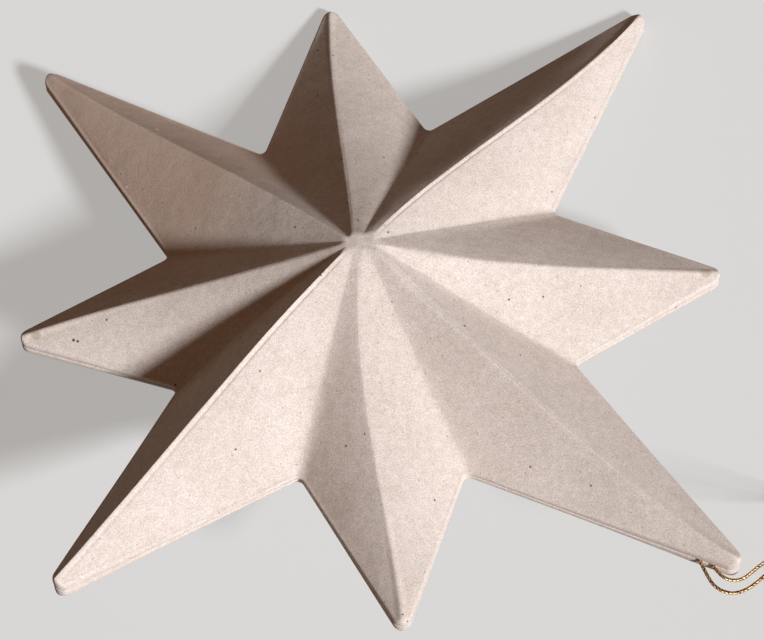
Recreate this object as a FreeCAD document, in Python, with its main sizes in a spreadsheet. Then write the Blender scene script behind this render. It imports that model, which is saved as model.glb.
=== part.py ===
import FreeCAD, Part
import math
import os
import Sketcher

V = FreeCAD.Vector

# Hollow eight-pointed star of pressed paper pulp: two faceted shells, glued rim to rim, with a loop
# of twisted thread whose ends go into the seam near one long point. Millimetres, +Z up.
#
# Star frame, in which the shells are drawn: the seam lies at Z = 0, the front shell stands above it,
# the back shell hangs below it, and Z is the axis through both summits. The finished star lies as it
# comes to rest on a flat surface: on its back summit and on the tips of two neighbouring points.

# name, value in mm or degrees, what it measures
SIZES = (
    ("reach_top", 81.8, "axis to the tip of the short point at the top"),
    ("reach_upper_right", 102.2, "axis to the tip of the long point at the upper right"),
    ("reach_right", 79.1, "axis to the tip of the short point at the right"),
    ("reach_lower_right", 102.0, "axis to the tip of the long point that holds the thread"),
    ("reach_bottom", 78.9, "axis to the tip of the short point at the bottom"),
    ("reach_lower_left", 94.5, "axis to the tip of the long point at the lower left"),
    ("reach_left", 76.5, "axis to the tip of the short point at the left"),
    ("reach_upper_left", 98.5, "axis to the tip of the long point at the upper left"),
    ("notch_reach", 48.2, "axis to the bottom of each notch between two points"),
    ("notch_radius", 1.6, "rounding at the bottom of a notch"),
    ("tip_radius", 2.2, "rounding of each tip, seen from the front"),
    ("shell_height", 25.2, "seam to summit, the same for both shells"),
    ("rim_height", 1.0, "upright lip of each shell at the seam"),
    ("summit_radius", 2.6, "axis to the farthest corner of the blunt summit"),
    ("wall", 1.9, "thickness of the pulp at the summit, measured upright"),
    ("rim_width", 3.2, "width of the glued rim at the bottom of a notch"),
    ("thread_diameter", 0.8, "twisted hanging thread"),
    ("thread_spacing", 1.3, "between the two strands where they pass the seam"),
    ("thread_clearance", 0.15, "pulp to strand in the seam, all round"),
    ("thread_lean", 28.0, "degrees between the strands in the seam and their point's own axis"),
    ("thread_start", 9.8, "knot face to the first bend of a strand, outside the seam"),
    ("knot_face_reach", 89.6, "star's axis to the knot's outer face, along the point"),
    ("knot_diameter", 2.6, "knot inside the hollow point"),
    ("knot_length", 2.4, "knot, along the thread"),
    ("knot_rounding", 0.2, "rounding of the knot's edges"),
)

# The eight points in order round the star: name, and direction in degrees.
POINTS = (
    ("right", -0.5),
    ("upper_right", 45.5),
    ("top", 91.0),
    ("upper_left", 134.5),
    ("left", 181.5),
    ("lower_left", 222.0),
    ("bottom", 270.8),
    ("lower_right", 315.0),
)
REST_POINTS = ("top", "upper_right")
THREAD_POINT = "lower_right"

# Shares of the outline, measured from the axis, at which the narrower sections are drawn.
FULL = "1"
SUMMIT = "(Sizes.summit_radius / Sizes.reach_upper_right)"
HOLLOW = "(1 - Sizes.rim_width / Sizes.notch_reach)"

# Loose part of the thread's loop, in the frame of the finished star, from the first strand's bend
# outside the seam to the second's: out past the tip, down to the surface, round, and back up.
LOOP = (
    V(70.2, -77.0, 44.0),
    V(78.5, -71.5, 42.5),
    V(86.0, -65.5, 36.0),
    V(92.0, -60.5, 25.0),
    V(96.0, -56.5, 12.0),
    V(100.0, -50.5, 0.4),
    V(105.5, -40.0, 0.4),
    V(105.0, -28.0, 0.4),
    V(97.5, -20.5, 0.4),
    V(91.0, -28.5, 0.4),
    V(91.5, -39.5, 0.4),
    V(92.5, -50.0, 0.4),
    V(90.0, -57.5, 11.5),
    V(87.0, -62.5, 23.5),
    V(82.5, -66.5, 34.0),
    V(76.5, -70.0, 41.5),
    V(70.0, -75.0, 43.5),
)

# An arc of the thread takes this share of the shorter of its two runs.
BEND_SHARE = 0.45

doc = FreeCAD.newDocument("paper_star")
sheet = doc.addObject("Spreadsheet::Sheet", "Sizes")


def fill_sheet():
    """One row a size: its name, its value under that alias, and what it measures."""
    for row, (name, value, meaning) in enumerate(SIZES, start=1):
        sheet.set("A%d" % row, name)
        sheet.set("B%d" % row, str(value))
        sheet.setAlias("B%d" % row, name)
        sheet.set("C%d" % row, meaning)
    doc.recompute()


def size(name):
    """A driving size, read back from the sheet."""
    return float(sheet.get(name))


def polar(reach, degrees):
    """Point of the seam plane at a distance and direction from the star's axis."""
    angle = math.radians(degrees)
    return V(reach * math.cos(angle), reach * math.sin(angle), 0)


def crossing_tangent(start, start_radius, end, end_radius, hand):
    """Ends of the line that leaves one circle on its left (hand +1) or right (hand -1) and
    touches the other on its opposite side."""
    way = end.sub(start)
    lean = math.acos((start_radius + end_radius) / way.Length)
    angle = math.atan2(way.y, way.x) + hand * lean
    normal = V(math.cos(angle), math.sin(angle), 0)
    return start + normal * start_radius, end - normal * end_radius


def angle_at(centre, point):
    return math.atan2(point.y - centre.y, point.x - centre.x)


def corner_texts(share):
    """Expressions for the rounded corners in order round the star, a tip and then the notch midway
    to the next: X and Y of the centre, and the radius."""
    listed = []
    for i, (name, degrees) in enumerate(POINTS):
        following = POINTS[(i + 1) % len(POINTS)][1]
        midway = degrees + (following - degrees) % 360 / 2
        tip_reach = "(Sizes.reach_%s - Sizes.tip_radius)" % name
        notch_reach = "(Sizes.notch_reach + Sizes.notch_radius)"
        for reach, turn, radius in ((tip_reach, degrees, "tip_radius"),
                                    (notch_reach, midway, "notch_radius")):
            listed.append((
                "%s * cos(%g deg) * %s" % (reach, turn, share),
                "%s * sin(%g deg) * %s" % (reach, turn, share),
                "Sizes.%s * %s" % (radius, share),
            ))
    return listed


def bind(sketch, constraint, text):
    """Adds a constraint whose value follows an expression."""
    index = sketch.addConstraint(constraint)
    sketch.setExpression("Constraints[%d]" % index, text)


def draw_outline(sketch, share):
    """Outline of the star: an arc at each tip and notch, and straight sides tangent to both."""
    texts = corner_texts(share)
    rounds = []
    for corner in texts:
        x, y, radius = [float(sketch.evalExpression(text)) for text in corner]
        rounds.append((V(x, y, 0), radius))
    count = len(rounds)
    ends = []
    for i, (centre, radius) in enumerate(rounds):
        after, after_radius = rounds[(i + 1) % count]
        hand = -1 if i % 2 == 0 else 1
        ends.append(crossing_tangent(centre, radius, after, after_radius, hand))
    sides = [sketch.addGeometry(Part.LineSegment(leaves, arrives)) for leaves, arrives in ends]
    for i, (centre, radius) in enumerate(rounds):
        # Arcs run anticlockwise: a tip's from the side before it, a notch's from the side after.
        is_tip = i % 2 == 0
        before, after = angle_at(centre, ends[i - 1][1]), angle_at(centre, ends[i][0])
        span = (before, after) if is_tip else (after, before)
        circle = Part.Circle(centre, V(0, 0, 1), radius)
        arc = sketch.addGeometry(Part.ArcOfCircle(circle, *span))
        at_before, at_after = (1, 2) if is_tip else (2, 1)
        sketch.addConstraint(Sketcher.Constraint("Tangent", sides[i - 1], 2, arc, at_before))
        sketch.addConstraint(Sketcher.Constraint("Tangent", sides[i], 1, arc, at_after))
        x_text, y_text, radius_text = texts[i]
        bind(sketch, Sketcher.Constraint("DistanceX", arc, 3, centre.x), x_text)
        bind(sketch, Sketcher.Constraint("DistanceY", arc, 3, centre.y), y_text)
        bind(sketch, Sketcher.Constraint("Radius", arc, radius), radius_text)


def outline_sketch(body, suffix, share, level):
    """Sketch of the outline, level with the seam or raised from it by an expression."""
    sketch = body.newObject("Sketcher::SketchObject", body.Name + suffix)
    plane = [feature for feature in body.Origin.OriginFeatures if feature.Role == "XY_Plane"][0]
    sketch.AttachmentSupport = (plane, [""])
    sketch.MapMode = "FlatFace"
    sketch.setExpression("AttachmentOffset.Base.z", level)
    draw_outline(sketch, share)
    return sketch


def loft(body, kind, suffix, first, last):
    """Flat-faced loft, added or subtracted, between two sections of the star."""
    feature = body.newObject("PartDesign::" + kind, body.Name + suffix)
    feature.Profile = first
    feature.Sections = [last]
    feature.Ruled = True
    return feature


def strand_frame():
    """Star frame: the middle of the knot's outer face, the way the strands run, and sideways."""
    degrees = dict(POINTS)[THREAD_POINT]
    way = polar(1, degrees - size("thread_lean"))
    return polar(size("knot_face_reach"), degrees), way, V(0, 0, 1).cross(way)


def strand_starts():
    """Star frame: where each of the two strands begins on the knot's face."""
    middle, _, sideways = strand_frame()
    half = sideways * (size("thread_spacing") / 2)
    return middle - half, middle + half


def make_shell(name, up):
    """One shell: an upright lip at the seam, flat faces up to a blunt summit, hollow inside, and a
    half-round groove in its rim for each strand. up is 1 for the front, -1 for its twin behind."""
    body = doc.addObject("PartDesign::Body", name)
    lip = body.newObject("PartDesign::Pad", name + "_lip")
    lip.Profile = outline_sketch(body, "_seam", FULL, "0")
    lip.setExpression("Length", "Sizes.rim_height")
    lip.Reversed = up < 0
    shoulder = outline_sketch(body, "_shoulder", FULL, "%d * Sizes.rim_height" % up)
    summit = outline_sketch(body, "_summit", SUMMIT, "%d * Sizes.shell_height" % up)
    loft(body, "AdditiveLoft", "_faces", shoulder, summit)
    mouth = outline_sketch(body, "_mouth", HOLLOW, "0")
    roof = outline_sketch(body, "_roof", SUMMIT, "%d * (Sizes.shell_height - Sizes.wall)" % up)
    loft(body, "SubtractiveLoft", "_hollow", mouth, roof)
    _, way, _ = strand_frame()
    for number, start in enumerate(strand_starts(), start=1):
        groove = body.newObject("PartDesign::SubtractiveCylinder", "%s_groove_%d" % (name, number))
        groove.setExpression("Radius", "Sizes.thread_diameter / 2 + Sizes.thread_clearance")
        groove.setExpression("Height", "Sizes.reach_%s - Sizes.knot_face_reach" % THREAD_POINT)
        groove.Placement = FreeCAD.Placement(start, FreeCAD.Rotation(V(0, 0, 1), way))
    return body


def make_knot():
    """Knot that stops both strands inside the hollow point, with its flat face toward the seam."""
    body = doc.addObject("PartDesign::Body", "cord_knot")
    blank = body.newObject("PartDesign::AdditiveCylinder", "cord_knot_blank")
    blank.setExpression("Radius", "Sizes.knot_diameter / 2")
    blank.setExpression("Height", "Sizes.knot_length")
    middle, way, _ = strand_frame()
    back = middle - way * size("knot_length")
    blank.Placement = FreeCAD.Placement(back, FreeCAD.Rotation(V(0, 0, 1), way))
    doc.recompute()
    rims = ["Edge%d" % (i + 1) for i, edge in enumerate(blank.Shape.Edges) if edge.isClosed()]
    rounded = body.newObject("PartDesign::Fillet", "cord_knot_rounding")
    rounded.Base = (blank, rims)
    rounded.setExpression("Radius", "Sizes.knot_rounding")
    return body


def rest_tilt():
    """Turn from the star frame to the star at rest. The surface touches three level circles of the
    back shell: the blunt summit's and the tips' of two neighbouring points."""
    centres = []
    for name in REST_POINTS:
        centres.append(polar(size("reach_" + name) - size("tip_radius"), dict(POINTS)[name]))
    line = centres[1] - centres[0]
    low_side = V(-line.y, line.x, 0)
    if low_side.dot(centres[0]) < 0:
        low_side = -low_side
    low_side.normalize()
    summit_share = float(sheet.evalExpression(SUMMIT))
    span = (low_side.dot(centres[0]) + size("tip_radius")) * (1 - summit_share)
    tilt = math.atan2(size("shell_height") - size("rim_height"), span)
    up = V(0, 0, math.cos(tilt)) - low_side * math.sin(tilt)
    return FreeCAD.Rotation(up, V(0, 0, 1))


def lay_down(shells):
    """Placement of the resting star: its box centred on the origin, its lowest point at Z = 0."""
    turned = FreeCAD.Placement(V(0, 0, 0), rest_tilt())
    box = Part.makeCompound([shell.Shape.transformed(turned.Matrix) for shell in shells])
    bounds = box.optimalBoundingBox(False, False)
    return FreeCAD.Placement(V(-bounds.Center.x, -bounds.Center.y, -bounds.ZMin), turned.Rotation)


def bend(before, corner, after):
    """Arc that rounds a corner of the thread's route: its ends, its middle and its radius."""
    run_in, run_out = corner - before, after - corner
    trim = BEND_SHARE * min(run_in.Length, run_out.Length)
    turn = run_in.getAngle(run_out)
    radius = trim / math.tan(turn / 2)
    start = corner - run_in * (trim / run_in.Length)
    end = corner + run_out * (trim / run_out.Length)
    inward = (start + end) * 0.5 - corner
    inward.normalize()
    reach = radius / math.cos(turn / 2) - radius
    return start, corner + inward * reach, end, radius


def thread_tube(route, diameter):
    """Round tube along straight runs joined by tangent arcs."""
    edges = []
    radii = []
    place = route[0]
    for before, corner, after in zip(route, route[1:], route[2:]):
        start, middle, end, radius = bend(before, corner, after)
        edges.append(Part.LineSegment(place, start).toShape())
        edges.append(Part.Arc(start, middle, end).toShape())
        radii.append(radius)
        place = end
    edges.append(Part.LineSegment(place, route[-1]).toShape())
    path = Part.Wire(edges)
    ring = Part.Wire(Part.makeCircle(diameter / 2, route[0], route[1] - route[0]))
    tube = path.makePipeShell([ring], True, False)
    expected = math.pi * diameter ** 2 / 4 * path.Length
    print("thread bends mm:", ", ".join("%.1f" % radius for radius in radii))
    print("thread length %.1f mm, volume %.2f of %.2f mm3" % (path.Length, tube.Volume, expected))
    return tube


def make_thread(place):
    """The hanging loop, from the knot's face out through the seam, round, and back to the knot."""
    _, way, _ = strand_frame()
    first, second = strand_starts()
    route = [first, first + way * size("thread_start")]
    back = [second + way * size("thread_start"), second]
    route = [place.multVec(point) for point in route]
    back = [place.multVec(point) for point in back]
    thread = doc.addObject("Part::Feature", "hang_cord")
    thread.Shape = thread_tube(route + list(LOOP) + back, size("thread_diameter"))
    return thread


def check(parts):
    """Stops if an object failed to build or a piece's shape isn't sound."""
    for thing in doc.Objects:
        if "Invalid" in thing.State or "Error" in thing.State:
            raise RuntimeError("%s failed: %s" % (thing.Label, thing.State))
    for part in parts:
        if part.Shape.isNull() or not part.Shape.isValid() or not part.Shape.Solids:
            raise RuntimeError("%s has no sound solid" % part.Label)
        print("%-12s %9.1f mm3" % (part.Label, part.Shape.Volume))


fill_sheet()
front_shell = make_shell("front_shell", 1)
back_shell = make_shell("back_shell", -1)
cord_knot = make_knot()
doc.recompute()
rest = lay_down((front_shell, back_shell))
for piece in (front_shell, back_shell, cord_knot):
    piece.Placement = rest
hang_cord = make_thread(rest)
doc.recompute()

pieces = (front_shell, back_shell, cord_knot, hang_cord)
check(pieces)
os.makedirs("parts", exist_ok=True)
for piece in pieces:
    piece.Shape.exportStep("parts/%s.step" % piece.Label)
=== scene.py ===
import math

import bpy
import numpy as np
from mathutils import Matrix, Vector, noise


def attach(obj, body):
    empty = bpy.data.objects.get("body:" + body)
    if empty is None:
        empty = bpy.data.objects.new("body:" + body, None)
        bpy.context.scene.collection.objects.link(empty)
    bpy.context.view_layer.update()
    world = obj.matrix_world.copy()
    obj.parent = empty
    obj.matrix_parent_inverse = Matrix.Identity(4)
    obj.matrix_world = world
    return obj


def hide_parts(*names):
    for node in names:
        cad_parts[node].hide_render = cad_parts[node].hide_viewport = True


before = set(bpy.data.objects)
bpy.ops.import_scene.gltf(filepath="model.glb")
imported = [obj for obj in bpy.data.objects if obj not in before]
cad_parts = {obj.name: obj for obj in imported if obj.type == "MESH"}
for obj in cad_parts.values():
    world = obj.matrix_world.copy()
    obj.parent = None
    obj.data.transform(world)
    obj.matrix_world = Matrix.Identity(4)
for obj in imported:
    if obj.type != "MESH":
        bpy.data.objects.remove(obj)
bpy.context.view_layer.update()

# Hollow eight-pointed star of pressed paper pulp, lying as it comes to rest, with a loop of twisted
# gold thread caught in its seam near one long point.
#
# Metres in Blender. The star is drawn in millimetres in its own frame: the seam between its two
# shells lies at Z = 0, Z is the axis through both summits, and the front shell is on the +Z side.

MM = 0.001

# Where the star's own frame lies at rest: the way that is up, and the place of its origin in mm.
REST_UP = (-0.03362, -0.29083, 0.95618)
REST_PLACE = (-1.317, -1.386, 24.7)

# Each point in order round the star:
#   direction in degrees, axis to tip in mm;
#   where its ridge starts on the summit, in mm;
#   how far the ridge bows to its left at each of the BOW_PLACES, in mm;
#   how far it sags in between, in mm;
#   how much wider its crest is rounded at the summit, in mm;
#   height in mm of the pressed bead on its crest, and on which side of it the groove lies;
#   how much thicker each shell's rim is at the tip, in mm.
ARMS = {
    "right": ((-0.5, 79.1), (2.6, -0.6), (-1.3, -0.7), 1.1, 3.0, (0.0, -1), 0.7),
    "upper_right": ((45.5, 102.2), (1.8, 1.2), (1.2, -0.3), 1.9, 0.0, (0.12, -1), 0.3),
    "top": ((91.0, 81.8), (-2.0, 1.6), (0.2, 0.8), 2.1, 0.0, (0.0, -1), 0.2),
    "upper_left": ((134.8, 97.9), (-3.0, 0.8), (-0.9, -0.1), 0.6, 0.0, (0.0, -1), 0.3),
    "left": ((181.5, 76.5), (-3.2, 0.3), (-1.1, -1.7), 1.8, 0.5, (0.0, 1), 0.6),
    "lower_left": ((222.0, 94.5), (-2.8, -0.6), (-0.7, -0.3), -0.8, 0.0, (0.14, 1), 1.3),
    "bottom": ((270.8, 78.9), (-0.6, -1.2), (-2.5, -1.3), 2.4, 3.0, (0.0, 1), 0.7),
    "lower_right": ((315.0, 102.0), (2.0, -1.2), (-2.0, -2.4), 0.4, 4.0, (0.10, 1), 1.1),
}
ARM_ROWS = list(ARMS.values())
BOW_PLACES = (0.35, 0.65)  # shares of the way from the summit to the tip

# The notch after each of those points: direction in degrees, axis to its bottom in mm, and how far
# the valley above it swells between the summit and the notch, in mm.
NOTCHES = ((23.6, 48.8, 0.2), (68.1, 49.0, 1.3), (115.0, 47.3, -1.0), (159.3, 46.4, 0.3),
           (202.4, 46.8, 1.2), (247.3, 46.1, 1.0), (291.6, 48.6, -0.3), (335.9, 49.1, -0.2))
TIP_RADIUS = 2.2
NOTCH_RADIUS = 1.6
RIM_HEIGHT = 1.0
SUMMIT_HEIGHT = 25.2
PEAK_RISE = 0.45          # the flat faces would meet this much above the blunt summit
CREST_HALF_WIDTH = 0.5    # rounding of a ridge, to each side
VALLEY_HALF_WIDTH = 3.2   # rounding of a valley, to each side
VALLEY_NARROWING = 0.5    # the part of that rounding which is lost by the notch
VALLEY_POWER = 4          # how closely that loss keeps to the notch
ROOM_SHARE = 0.6          # the part of the way to the next fold that a rounding may take
BLUNT_SHARE = 0.3         # the part of its way, from the summit, on which a crest is blunter
SUMMIT_BLUNT = 0.25       # softness of the step from the summit to the faces
SOFT_BLUNT = 0.9          # how much softer it is on one side
SOFT_SIDE = -50.0         # the direction of that side in degrees
BEAD_WIDTH = 0.24
BEAD_FADE = 0.12          # the part of its way in which a bead rises from the summit
BEAD_END = 0.02           # and in which it sinks again at the tip
GROOVE_PLACE = 0.64       # from the crest to the groove beside its bead
GROOVE_DEPTH = 1.3        # depth of the groove to the height of the bead
FLARE_REACH = 20.0        # from the tip to where its rim is nearly as thin as elsewhere
FLARE_POWER = 6           # how closely the flare keeps to the rim
SHOULDER = 0.5            # rounding between a face and the lip at the seam
WALL = 1.9
RIM_WIDTH = 3.2

# Section of the lip from the shoulder down to the groove at the seam: inset in mm, and share of the
# way up from the groove to the shoulder. Then the groove's own section: inset and height in mm.
LIP = (
    (0.28, 0.94), (0.10, 0.80), (0.02, 0.63), (0.0, 0.46), (0.0, 0.30), (0.01, 0.14), (0.06, 0.0),
)
GROOVE = ((0.22, 0.17), (0.50, 0.12), (0.62, 0.0))
GROOVE_TOP = 0.24

# Hand-made unevenness of the pulp, from broad swellings to a fine ripple: height and breadth in mm.
# It fades out on the last part of the way to the shoulder.
UNEVENNESS = ((0.22, 17.0), (0.07, 6.0), (0.025, 2.2))
UNEVEN_FADE = 0.03
FRONT_SEED = 3.7
BACK_SEED = 91.3

# Steps of the mesh.
TIP_STEPS = 6
SIDE_STEPS = 30
SIDE_CROWDING = 0.65      # how much the steps of a side crowd toward its ends
NOTCH_STEPS = 3
SUMMIT_RINGS = (0.35, 0.7)
FACE_RINGS = 92
RING_CROWDING = 1.12      # power that crowds the rings toward the summit
INNER_RINGS = 12
INNER_END = 0.03          # the last ring inside, as a share of the way from the axis
LEAST_SHARE = 0.004       # first step away from the summit
SHARP_DEGREES = 55.0      # least angle of an edge that is shaded as sharp

# Control points of the thread's route, in mm, from the knot out through the seam, down to the
# surface, round, and back to the knot.
ROUTE = (
    (61.7, -62.5, 41.1), (63.8, -70.4, 43.5), (65.9, -75.2, 44.1), (71.0, -76.6, 44.0),
    (78.5, -71.5, 42.5), (86.0, -65.5, 36.0), (92.0, -60.5, 25.0), (96.0, -56.5, 12.0),
    (100.0, -50.5, 0.4), (105.5, -40.0, 0.4), (105.0, -28.0, 0.4), (97.5, -20.5, 0.4),
    (91.0, -28.5, 0.4), (91.5, -39.5, 0.4), (92.5, -50.0, 0.4), (90.0, -57.5, 11.5),
    (87.0, -62.5, 23.5), (82.5, -66.5, 34.0), (76.5, -70.0, 41.5), (70.6, -74.2, 43.7),
    (65.9, -71.4, 43.6), (62.9, -62.1, 40.9),
)
THREAD_DIAMETER = 0.8
ROUTE_STEPS = 24          # points of the line to each control point
ROUTE_ORDER = 3
PLIES = 3
PLY_SWELL = 1.04          # how much thicker than a quarter of the thread a ply's radius is
PLY_PITCH = 2.6
PLY_SIDES = 8
PLY_STEPS = 14            # along each pitch

# The camera: its place in mm, the ways to its right and up, the sensor in mm, and the focal length
# in widths of the sensor.
CAMERA_PLACE = (3.1, -155.51, 598.63)
CAMERA_RIGHT = (0.99522, -0.09397, -0.0265)
CAMERA_UP = (0.09761, 0.96278, 0.25206)
SENSOR_WIDTH = 36.0
FOCAL_WIDTHS = 3.5
CLIP_START = 0.01         # in metres

# One lamp, with the way toward it and the angle in degrees that it spans, and a weak warm fill from
# all round. The floor has its own look to the camera.
KEY_TOWARD = (0.5831, -0.5015, 0.6391)
KEY_STRENGTH = 3.85
KEY_SOFTNESS = 9.0
KEY_COLOUR = (0.97, 1.0, 1.05)
FILL_COLOUR = (1.0, 0.54, 0.30)
FILL_STRENGTH = 0.088
FLOOR_COLOUR = (0.74, 0.73, 0.71)
FLOOR_BOUNCE = 0.25       # grey of the floor to any ray but the camera's
FLOOR_GLOW = 0.55         # the part of the floor's look that takes no shadow
FLOOR_ROUGHNESS = 0.9
FLOOR_SPECULAR = 0.1
FLOOR_SIZE = 6.0          # in metres


def polar(reach, degrees):
    angle = math.radians(degrees)
    return np.array([reach * math.cos(angle), reach * math.sin(angle)])


def to_world(points):
    """Star frame in mm to world in metres."""
    turn = Vector(REST_UP).rotation_difference(Vector((0, 0, 1))).to_matrix()
    return (points @ np.array(turn).T + np.array(REST_PLACE)) * MM


# The star's outline

def crossing_normal(tip, notch, hand):
    """Outward unit vector of the straight side between a tip's round and a notch's."""
    way = notch - tip
    lean = math.acos((TIP_RADIUS + NOTCH_RADIUS) / np.hypot(*way))
    angle = math.atan2(way[1], way[0]) - hand * lean
    return np.array([math.cos(angle), math.sin(angle)])


def arc(centre, radius, first, last, steps):
    """Points from one direction to another, given as unit vectors, and their directions."""
    start, end = math.atan2(first[1], first[0]), math.atan2(last[1], last[0])
    turn = (end - start + math.pi) % (2 * math.pi) - math.pi
    angles = start + turn * np.linspace(0, 1, steps + 1)
    ways = np.stack([np.cos(angles), np.sin(angles)], 1)
    return centre + radius * ways, ways


def eased(steps):
    """Shares between 0 and 1, closer together near both ends."""
    even = np.arange(1, steps) / steps
    crowded = (1 - np.cos(math.pi * even)) / 2
    return ((1 - SIDE_CROWDING) * even + SIDE_CROWDING * crowded)[:, None]


def across(line_start, line_end, points):
    """Distance of points to the left of a line."""
    way = (line_end - line_start) / np.hypot(*(line_end - line_start))
    return way[0] * (points[:, 1] - line_start[1]) - way[1] * (points[:, 0] - line_start[0])


def make_face(arm, hand):
    """One of the sixteen flat faces as columns of the mesh, which fan out from the summit to points
    of the outline. They run from the arm's ridge to the valley on its left (hand 1) or right (-1)."""
    (degrees, reach), start, bows, sag, blunt, bead, flare = ARM_ROWS[arm]
    notch_degrees, notch_reach, swell = NOTCHES[arm if hand > 0 else arm - 1]
    neighbour_start = ARM_ROWS[(arm + hand) % len(ARM_ROWS)][1]
    apex = np.array(start)
    valley_apex = (apex + np.array(neighbour_start)) / 2
    tip = polar(reach - TIP_RADIUS, degrees)
    notch = polar(notch_reach + NOTCH_RADIUS, notch_degrees)
    normal = crossing_normal(tip, notch, hand)
    tip_arc, tip_ways = arc(tip, TIP_RADIUS, polar(1, degrees), normal, TIP_STEPS)
    notch_arc, notch_ways = arc(notch, NOTCH_RADIUS, -normal, -polar(1, notch_degrees), NOTCH_STEPS)
    side = tip_arc[-1] + (notch_arc[0] - tip_arc[-1]) * eased(SIDE_STEPS)
    edge = np.concatenate([tip_arc, side, notch_arc])
    outward = np.concatenate([tip_ways, np.tile(normal, (len(side), 1)), -notch_ways])
    points = edge - outward * SHOULDER
    share = np.linspace(0, 1, len(points))[:, None]
    line = normal @ tip_arc[-1]
    slope = (SUMMIT_HEIGHT + PEAK_RISE - RIM_HEIGHT) / (line - normal @ apex)
    ridge_way = polar(1, degrees)
    columns = {
        "edge": edge,
        "outward": outward,
        "point": points,
        "apex": apex + (valley_apex - apex) * share,
        "height": RIM_HEIGHT + slope * np.maximum(line - points @ normal, 0),
        "left": np.tile((-ridge_way[1], ridge_way[0]), (len(points), 1)),
        "bow": np.tile(bows, (len(points), 1)),
        "sag": np.full(len(points), sag),
        "blunt": np.full(len(points), blunt),
        "swell": np.full(len(points), swell),
        "bead": np.tile(bead, (len(points), 1)),
        "flare": flare * np.exp(-(np.linalg.norm(edge - tip, axis=1) / FLARE_REACH) ** 2),
    }
    from_ridge = np.abs(across(apex, polar(reach, degrees), points))
    columns["share"] = 1 - from_ridge / from_ridge[-1]
    kept = slice(0, -1) if hand > 0 else slice(-1, 0, -1)
    return {name: values[kept] for name, values in columns.items()}


def make_outline():
    """All columns in order round the star, each face's from its valley or its ridge."""
    faces = []
    for arm in range(len(ARM_ROWS)):
        faces += [make_face(arm, -1), make_face(arm, 1)]
    return {name: np.concatenate([face[name] for face in faces]) for name in faces[0]}


OUTLINE = make_outline()
FACE_COLUMNS = len(OUTLINE["edge"]) // (2 * len(ARM_ROWS))


# The shells

def bow(share, first, second):
    """Smooth curve that is 0 at both ends, and first and second at the BOW_PLACES, which lie as far
    from one end as from the other."""
    a, b = BOW_PLACES
    between = (first * (b - share) + second * (share - a)) / (b - a)
    return between * share * (1 - share) / (a * b)


def sharp_ring(share):
    """Ring of the faces at a share of the way from the summit to the shoulder, with sharp folds."""
    o = OUTLINE
    place = o["apex"] + (o["point"] - o["apex"]) * share
    sideways = bow(share, o["bow"][:, 0], o["bow"][:, 1]) * o["share"]
    place = place + o["left"] * sideways[:, None]
    peak = SUMMIT_HEIGHT + PEAK_RISE
    height = peak + (o["height"] - peak) * share + o["flare"] * share ** FLARE_POWER
    height += bow(share, 1, 1) * (o["swell"] * (1 - o["share"]) - o["sag"] * o["share"])
    return np.column_stack([place, height])


def fold_slopes(ring, along):
    """Slope in x and in y of each face between a column and the next."""
    beside = np.roll(ring, -1, 0) - ring
    spread = along[:, 0] * beside[:, 1] - along[:, 1] * beside[:, 0]
    in_x = (along[:, 2] * beside[:, 1] - along[:, 1] * beside[:, 2]) / spread
    in_y = (along[:, 0] * beside[:, 2] - along[:, 2] * beside[:, 0]) / spread
    return np.column_stack([in_x, in_y])


def face_ring(share):
    """The same ring with its folds rounded, the beads on its crests and the summit blunted."""
    share = max(share, LEAST_SHARE)
    ring = sharp_ring(share)
    along = sharp_ring(share + LEAST_SHARE) - ring
    slopes = fold_slopes(ring, along)
    height = ring[:, 2].copy()
    count, span = len(ring), FACE_COLUMNS
    for crease in range(0, count, span):
        is_ridge = crease // span % 2 == 1
        aside = np.array([-along[crease, 1], along[crease, 0]]) / np.hypot(*along[crease, :2])
        fold = (slopes[crease] - slopes[crease - 1]) @ aside
        near = np.arange(crease - span, crease + span + 1) % count
        off = (ring[near, :2] - ring[crease, :2]) @ aside
        room = min(abs(off[0]), abs(off[-1]))
        if is_ridge:
            blunt = OUTLINE["blunt"][crease] * max(0.0, 1 - share / BLUNT_SHARE) ** 2
            width = CREST_HALF_WIDTH + blunt
        else:
            width = VALLEY_HALF_WIDTH * (1 - VALLEY_NARROWING * share ** VALLEY_POWER)
        width = min(width, ROOM_SHARE * room)
        height[near] += fold * np.maximum(width - np.abs(off), 0) ** 2 / (4 * width)
        if is_ridge:
            bead, groove_side = OUTLINE["bead"][crease]
            fade = min(1.0, share / BEAD_FADE) * min(1.0, (1 - share) / BEAD_END)
            height[near] += bead * fade * np.exp(-(off / BEAD_WIDTH) ** 2)
            from_groove = off * groove_side - GROOVE_PLACE
            height[near] -= GROOVE_DEPTH * bead * fade * np.exp(-(from_groove / BEAD_WIDTH) ** 2)
    toward_soft_side = np.maximum(OUTLINE["point"] @ polar(1, SOFT_SIDE), 0)
    toward_soft_side /= np.linalg.norm(OUTLINE["point"], axis=1)
    soft = SUMMIT_BLUNT + SOFT_BLUNT * toward_soft_side
    meet = np.maximum(soft - np.abs(height - SUMMIT_HEIGHT), 0) ** 2 / (4 * soft)
    return np.column_stack([ring[:, :2], np.minimum(height, SUMMIT_HEIGHT) - meet])


def uneven(ring, seed, share):
    """The ring with the unevenness of hand-made pulp, which the seed makes differ between shells."""
    fade = min(1.0, (1 - share) / UNEVEN_FADE)
    for row in ring:
        spot = Vector((row[0], row[1], seed))
        for height, breadth in UNEVENNESS:
            row[2] += fade * height * noise.noise(spot / breadth)
    return ring


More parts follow.
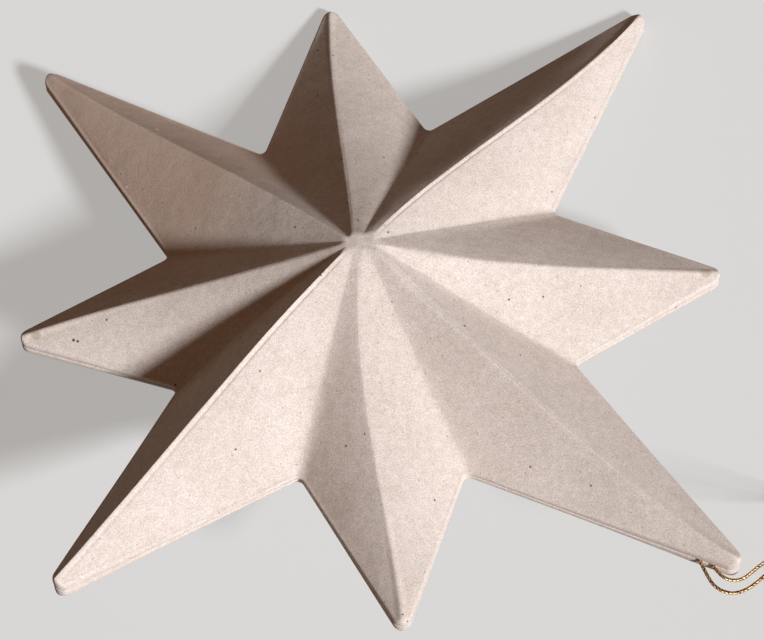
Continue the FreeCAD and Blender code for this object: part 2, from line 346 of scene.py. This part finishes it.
def shell_rings(seed):
    """Closed surface of one shell as rings, from the middle of its summit out over the faces and
    the lip, in along the seam, and up the inside."""
    summit = face_ring(0)
    middle = summit[:, :2].mean(0)
    rings = []
    for share in SUMMIT_RINGS:
        ring = summit.copy()
        ring[:, :2] = middle + (summit[:, :2] - middle) * share
        rings.append(uneven(ring, seed, 0))
    for share in np.linspace(0, 1, FACE_RINGS) ** RING_CROWDING:
        rings.append(uneven(face_ring(share), seed, share))
    shoulder = face_ring(1.0)[:, 2:]
    for inset, rise in LIP:
        height = GROOVE_TOP + (shoulder - GROOVE_TOP) * rise
        rings.append(np.hstack([OUTLINE["edge"] - OUTLINE["outward"] * inset, height]))
    for inset, height in GROOVE:
        level = np.full_like(shoulder, height)
        rings.append(np.hstack([OUTLINE["edge"] - OUTLINE["outward"] * inset, level]))
    hollow = 1 - RIM_WIDTH / min(reach for _, reach, _ in NOTCHES)
    rim = face_ring(hollow)[:, 2]
    for share in np.linspace(1, INNER_END, INNER_RINGS):
        ring = face_ring(hollow * share)
        ring[:, 2] -= WALL + (rim - WALL) * share
        rings.append(ring)
    return rings


def mesh_object(name, points, faces):
    mesh = bpy.data.meshes.new(name)
    mesh.from_pydata(points, [], faces)
    mesh.validate()
    mesh.shade_smooth()
    piece = bpy.data.objects.new(name, mesh)
    bpy.context.scene.collection.objects.link(piece)
    return piece


def make_shell(name, node, up, seed, material):
    """One shell of the star, on the front (up is 1) or behind (-1)."""
    rings = shell_rings(seed)
    count = len(rings[0])
    ends = [rings[0].mean(0), rings[-1].mean(0)]
    points = np.concatenate(rings + [np.array(ends)]) * (1, 1, up)
    points = to_world(points)
    points[:, 2] = np.maximum(points[:, 2], 0)
    faces = []
    for ring in range(len(rings) - 1):
        for i in range(count):
            a, b = ring * count + i, ring * count + (i + 1) % count
            faces.append((a, a + count, b + count, b))
    first, last = len(rings) * count, (len(rings) - 1) * count
    for i in range(count):
        after = (i + 1) % count
        faces.append((first, i, after))
        faces.append((first + 1, last + after, last + i))
    if up < 0:
        faces = [face[::-1] for face in faces]
    shell = mesh_object(name, points.tolist(), faces)
    shell.data.set_sharp_from_angle(angle=math.radians(SHARP_DEGREES))
    shell.data.materials.append(material)
    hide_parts(node)
    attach(shell, "root")
    return shell


# The thread

def route_points():
    """Smooth line of the thread: the spline through its control points, and points along it."""
    curve = bpy.data.curves.new("thread_route", "CURVE")
    curve.dimensions = "3D"
    curve.resolution_u = ROUTE_STEPS
    spline = curve.splines.new("NURBS")
    spline.points.add(len(ROUTE) - 1)
    for point, place in zip(spline.points, ROUTE):
        point.co = (*(Vector(place) * MM), 1)
    spline.order_u = ROUTE_ORDER
    spline.use_endpoint_u = True
    carrier = bpy.data.objects.new("thread_route", curve)
    bpy.context.scene.collection.objects.link(carrier)
    bpy.context.view_layer.update()
    line = bpy.data.meshes.new_from_object(carrier)
    points = [vertex.co.copy() for vertex in line.vertices]
    bpy.data.objects.remove(carrier)
    bpy.data.curves.remove(curve)
    bpy.data.meshes.remove(line)
    return points


def unit(rows):
    """Each row at length 1."""
    return rows / np.linalg.norm(rows, axis=1)[:, None]


def carried_sides(ways):
    """Unit vectors square to the ways along a line, carried from each to the next without twist."""
    side = np.cross(ways[0], (0, 0, 1))
    sides = []
    for way in ways:
        side = side - way * (side @ way)
        side /= np.linalg.norm(side)
        sides.append(side)
    return np.array(sides)


def ply_points(middle, out, radius):
    """Rings of points round a ply's line, each begun on the side that faces out of the thread."""
    way = unit(np.gradient(middle, axis=0))
    out = unit(out - way * (out * way).sum(1)[:, None])
    beside = np.cross(way, out)
    points = []
    for centre, a, b in zip(middle, out, beside):
        for corner in range(PLY_SIDES):
            angle = 2 * math.pi * corner / PLY_SIDES
            points.append(tuple(centre + (a * math.cos(angle) + b * math.sin(angle)) * radius))
    return points


def ply_faces(first, rings):
    """Faces of a ply whose points begin at first, closed at both ends."""
    faces = []
    for ring in range(first, first + (rings - 1) * PLY_SIDES, PLY_SIDES):
        for corner in range(PLY_SIDES):
            a, b = ring + corner, ring + (corner + 1) % PLY_SIDES
            faces.append((a, b, b + PLY_SIDES, a + PLY_SIDES))
    last = first + (rings - 1) * PLY_SIDES
    faces.append(tuple(reversed(range(first, first + PLY_SIDES))))
    faces.append(tuple(range(last, last + PLY_SIDES)))
    return faces


def make_thread(material):
    """The plies, wound round the route."""
    path = route_points()
    lengths = [0.0]
    for a, b in zip(path, path[1:]):
        lengths.append(lengths[-1] + (b - a).length)
    steps = int(lengths[-1] / (PLY_PITCH * MM) * PLY_STEPS)
    distances = np.linspace(0, lengths[-1], steps)
    centres = np.stack([np.interp(distances, lengths, values) for values in zip(*path)], 1)
    ways = unit(np.gradient(centres, axis=0))
    sides = carried_sides(ways)
    ups = np.cross(ways, sides)
    ply_radius = THREAD_DIAMETER * MM / 4 * PLY_SWELL
    wind = THREAD_DIAMETER * MM / 2 - ply_radius
    points, faces = [], []
    for ply in range(PLIES):
        turn = 2 * math.pi * (distances / (PLY_PITCH * MM) + ply / PLIES)
        out = sides * np.cos(turn)[:, None] + ups * np.sin(turn)[:, None]
        faces += ply_faces(len(points), steps)
        points += ply_points(centres + out * wind, out, ply_radius)
    thread = mesh_object("gold_thread", points, faces)
    thread.data.materials.append(material)
    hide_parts("hang_cord")
    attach(thread, "root")
    return thread


# Materials

def new_material(name, roughness, **values):
    material = bpy.data.materials.new(name)
    material.use_nodes = True
    shader = material.node_tree.nodes["Principled BSDF"]
    shader.inputs["Roughness"].default_value = roughness
    for socket, value in values.items():
        shader.inputs[socket.replace("_", " ")].default_value = value
    return material, shader


def add(tree, kind, links=(), **values):
    """A node with some inputs set and others linked; returns it."""
    node = tree.nodes.new("ShaderNode" + kind)
    for name, value in values.items():
        if hasattr(node, name):
            setattr(node, name, value)
        else:
            node.inputs[name.replace("_", " ")].default_value = value
    for socket, source in dict(links).items():
        tree.links.new(source, node.inputs[socket])
    return node


def ramp(tree, source, stops):
    """Colour ramp through (position, grey or colour) stops."""
    node = add(tree, "ValToRGB", {"Fac": source})
    elements = node.color_ramp.elements
    while len(elements) < len(stops):
        elements.new(0.5)
    for element, (position, colour) in zip(elements, stops):
        element.position = position
        rgb = (colour,) * 3 if isinstance(colour, (int, float)) else colour
        element.color = (*rgb, 1)
    return node.outputs["Color"]


def mixed(tree, factor, first, second, blend="MIX"):
    """Mix of two colours by a factor; each is a link or a plain value."""
    node = tree.nodes.new("ShaderNodeMix")
    node.data_type = "RGBA"
    node.blend_type = blend
    for index, value in ((0, factor), (6, first), (7, second)):
        socket = node.inputs[index]
        if isinstance(value, bpy.types.NodeSocket):
            tree.links.new(value, socket)
        elif isinstance(value, (int, float)):
            socket.default_value = value
        else:
            socket.default_value = (*value, 1)
    return node.outputs[2]


# Layers of the pulp's look, each a cloud of noise: blotches to the metre, detail and distortion of
# the cloud, and the stops of the ramp through it. The first three multiply into the ground colour,
# and each kind of fibre then mixes its own colour into that.
BROAD_TONE = ((60.0, 3.0, 0.0), ((0.3, (0.79, 0.68, 0.60)), (0.7, (0.85, 0.74, 0.665))))
PATCHES = ((600.0, 4.0, 0.0), ((0.35, (0.94, 0.925, 0.91)), (0.65, (1.03, 1.03, 1.03))))
GRAIN = ((3300.0, 2.0, 0.0), ((0.36, 0.83), (0.64, 1.11)))
PALE_FIBRES = ((640.0, 1.5, 1.6), ((0.49, 0.0), (0.5, 0.5), (0.51, 0.0)))
PALE_FIBRE_COLOUR = (0.90, 0.82, 0.75)
DARK_FIBRES = ((420.0, 1.0, 2.2), ((0.495, 0.0), (0.5, 0.4), (0.505, 0.0)))
DARK_FIBRE_COLOUR = (0.45, 0.36, 0.29)

# Its relief: fine grains, the share in it of the pale fibres, broader lumps and their share.
GRAIN_RELIEF = ((2600.0, 3.0, 0.0), ((0.2, 0.0), (0.8, 1.0)))
FIBRE_RELIEF_SHARE = 0.3
LUMP_RELIEF = ((330.0, 2.0, 0.0), ((0.2, 0.0), (0.8, 1.0)))
LUMP_RELIEF_SHARE = 0.5
PULP_ROUGHNESS = 0.95
PULP_SPECULAR = 0.15
PULP_BUMP = {"Strength": 0.45, "Distance": 0.0002}

# Flecks in the pulp: cells to the metre, radius in mm, portion of the cells that hold one, strength
# and colour.
FLECKS = (
    (520.0, 0.24, 0.40, 0.75, (0.42, 0.33, 0.27)),
    (560.0, 0.22, 0.30, 0.70, (0.95, 0.90, 0.85)),
    (240.0, 0.30, 0.50, 0.95, (0.13, 0.09, 0.06)),
)
SPOT_CORE = 0.6           # the part of a fleck's or mark's radius within which it is at full strength
DRAW_STEP = 0.02          # width of the step between cells with a fleck and cells without


def flecks(tree, coords, scale, radius, portion, strength):
    """Factor that is strong inside small round flecks, in some of the cells only."""
    cells = add(tree, "TexVoronoi", {"Vector": coords}, Scale=scale)
    inside = radius * MM * scale
    spot = ramp(tree, cells.outputs["Distance"], ((SPOT_CORE * inside, 1.0), (inside, 0.0)))
    draw = add(tree, "SeparateColor", {"Color": cells.outputs["Color"]}).outputs[0]
    chosen = ramp(tree, draw, ((portion - DRAW_STEP, strength), (portion, 0.0)))
    return mixed(tree, 1.0, spot, chosen, "MULTIPLY")


# A browner colour laid over most of the upper left point, and single marks on the front shell: place
# in mm, radius in mm, strength and colour.
BROWNER_ARM_COLOUR, STAIN = (0.70, 0.46, 0.31), (0.45, 0.36, 0.25)
DARK_FLECK, WHITE_FLECK = (0.07, 0.045, 0.03), (1.0, 0.97, 0.93)
MARKS = (
    # a browner colour over most of the upper left point
    ((-50.0, 44.0, 18.0), 44.0, 0.5, BROWNER_ARM_COLOUR),
    ((-65.8, -4.6, 31.3), 0.42, 0.95, DARK_FLECK),
    ((-64.9, -5.0, 31.5), 0.34, 0.95, DARK_FLECK),
    ((19.5, -13.9, 46.5), 0.36, 0.9, DARK_FLECK),
    ((-1.0, 12.3, 44.9), 0.30, 0.8, DARK_FLECK),
    ((-10.0, -0.5, 49.6), 0.30, 0.8, DARK_FLECK),
    ((-3.4, 63.5, 10.1), 0.28, 0.8, DARK_FLECK),
    ((-44.9, 46.2, 19.4), 0.62, 1.0, WHITE_FLECK),
    ((-52.9, 33.6, 18.1), 0.42, 0.9, WHITE_FLECK),
    ((74.6, -1.6, 25.2), 1.5, 0.6, STAIN),
    ((-74.1, -2.4, 30.5), 1.3, 0.6, STAIN),
)


def mark(tree, coords, place, radius, strength):
    """Factor that is strong inside one spot on the surface."""
    away = add(tree, "VectorMath", {0: coords}, operation="DISTANCE")
    away.inputs[1].default_value = Vector(place) * MM
    share = add(tree, "Math", {0: away.outputs["Value"]}, operation="DIVIDE")
    share.inputs[1].default_value = radius * MM
    return ramp(tree, share.outputs[0], ((SPOT_CORE, strength), (1.0, 0.0)))


def pulp_material():
    """Matt grey-beige recycled pulp: mottled, with pale and dark fibres and a few flecks."""
    material, shader = new_material("pulp", PULP_ROUGHNESS, Specular_IOR_Level=PULP_SPECULAR)
    tree = material.node_tree
    coords = add(tree, "TexCoord").outputs["Object"]

    def layer(cloud, stops):
        scale, detail, distortion = cloud
        values = {"Scale": scale, "Detail": detail, "Distortion": distortion}
        return ramp(tree, add(tree, "TexNoise", {"Vector": coords}, **values).outputs["Fac"], stops)

    colour = mixed(tree, 1.0, layer(*BROAD_TONE), layer(*PATCHES), "MULTIPLY")
    colour = mixed(tree, 1.0, colour, layer(*GRAIN), "MULTIPLY")
    pale = layer(*PALE_FIBRES)
    colour = mixed(tree, pale, colour, PALE_FIBRE_COLOUR)
    colour = mixed(tree, layer(*DARK_FIBRES), colour, DARK_FIBRE_COLOUR)
    for *fleck, tone in FLECKS:
        colour = mixed(tree, flecks(tree, coords, *fleck), colour, tone)
    for *spot, tone in MARKS:
        colour = mixed(tree, mark(tree, coords, *spot), colour, tone)
    tree.links.new(colour, shader.inputs["Base Color"])
    height = mixed(tree, FIBRE_RELIEF_SHARE, layer(*GRAIN_RELIEF), pale)
    height = mixed(tree, LUMP_RELIEF_SHARE, height, layer(*LUMP_RELIEF))
    bump = add(tree, "Bump", {"Height": height}, **PULP_BUMP)
    tree.links.new(bump.outputs["Normal"], shader.inputs["Normal"])
    return material


# The yarn's spots to the metre, and its tones through them: a dull red that is painted reflection of
# dark surroundings, the yarn's own gold, and a pale gold that is painted shine.
YARN_SPOTS = 1900.0
YARN_DETAIL = 2.0
YARN_GOLD_AND_PAINTED_REFLECTIONS = (
    (0.36, (0.34, 0.11, 0.05)),
    (0.50, (0.72, 0.40, 0.16)),
    (0.62, (1.0, 0.84, 0.52)),
)
YARN_ROUGHNESS = 0.32
YARN_METALLIC = 0.9
YARN_BUMP = {"Strength": 0.4, "Distance": 0.0001}


def thread_material():
    """Shiny metallic yarn: its own gold, mixed in spots with a dull red of painted reflection and a
    pale gold of painted shine.
    """
    material, shader = new_material("gold_yarn", YARN_ROUGHNESS, Metallic=YARN_METALLIC)
    tree = material.node_tree
    coords = add(tree, "TexCoord").outputs["Object"]
    cloud = add(tree, "TexNoise", {"Vector": coords}, Scale=YARN_SPOTS, Detail=YARN_DETAIL)
    spots = cloud.outputs["Fac"]
    # gold yarn colour, with painted reflection and painted shine in its spots
    tree.links.new(ramp(tree, spots, YARN_GOLD_AND_PAINTED_REFLECTIONS), shader.inputs["Base Color"])
    bump = add(tree, "Bump", {"Height": spots}, **YARN_BUMP)
    tree.links.new(bump.outputs["Normal"], shader.inputs["Normal"])
    return material


def floor_material():
    """Floor that the camera sees pale and softly shadowed, and that throws little light back."""
    material, shader = new_material("pale_floor", FLOOR_ROUGHNESS, Specular_IOR_Level=FLOOR_SPECULAR)
    tree = material.node_tree
    seen = add(tree, "LightPath").outputs["Is Camera Ray"]
    colour = ramp(tree, seen, ((0.0, FLOOR_BOUNCE), (1.0, FLOOR_COLOUR)))
    tree.links.new(colour, shader.inputs["Base Color"])
    glow = add(tree, "Emission", Color=(*FLOOR_COLOUR, 1), Strength=1.0)
    share = ramp(tree, seen, ((0.0, 0.0), (1.0, FLOOR_GLOW)))
    both = add(tree, "MixShader", {0: share, 1: shader.outputs[0], 2: glow.outputs[0]})
    tree.links.new(both.outputs[0], tree.nodes["Material Output"].inputs["Surface"])
    return material


# Stage, camera and lights

def make_stage():
    half = FLOOR_SIZE / 2
    corners = [(-half, -half, 0), (half, -half, 0), (half, half, 0), (-half, half, 0)]
    floor = mesh_object("floor", corners, [(0, 1, 2, 3)])
    floor.data.materials.append(floor_material())


def make_camera():
    camera = bpy.data.cameras.new("camera")
    camera.sensor_fit = "HORIZONTAL"
    camera.sensor_width = SENSOR_WIDTH
    camera.lens = FOCAL_WIDTHS * SENSOR_WIDTH
    camera.clip_start = CLIP_START
    viewer = bpy.data.objects.new("camera", camera)
    bpy.context.scene.collection.objects.link(viewer)
    right, up = Vector(CAMERA_RIGHT), Vector(CAMERA_UP)
    turn = Matrix((right, up, right.cross(up))).transposed()
    viewer.rotation_mode = "QUATERNION"
    viewer.rotation_quaternion = turn.to_quaternion()
    viewer.location = Vector(CAMERA_PLACE) * MM
    bpy.context.scene.camera = viewer


def make_lights():
    lamp = bpy.data.lights.new("key", "SUN")
    lamp.energy = KEY_STRENGTH
    lamp.angle = math.radians(KEY_SOFTNESS)
    lamp.color = KEY_COLOUR
    key = bpy.data.objects.new("key", lamp)
    bpy.context.scene.collection.objects.link(key)
    key.rotation_mode = "QUATERNION"
    key.rotation_quaternion = Vector(KEY_TOWARD).to_track_quat("Z", "Y")
    key.location = Vector(KEY_TOWARD)
    world = bpy.data.worlds.new("studio")
    bpy.context.scene.world = world
    world.use_nodes = True
    back = world.node_tree.nodes["Background"]
    back.inputs["Color"].default_value = (*FILL_COLOUR, 1)
    back.inputs["Strength"].default_value = FILL_STRENGTH


pulp = pulp_material()
gold = thread_material()
make_shell("front_paper", "front_shell", 1, FRONT_SEED, pulp)
make_shell("back_paper", "back_shell", -1, BACK_SEED, pulp)
make_thread(gold)
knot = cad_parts["cord_knot"]
knot.data.materials.clear()
knot.data.materials.append(gold)
make_stage()
make_camera()
make_lights()
bpy.context.scene.view_settings.view_transform = "Standard"
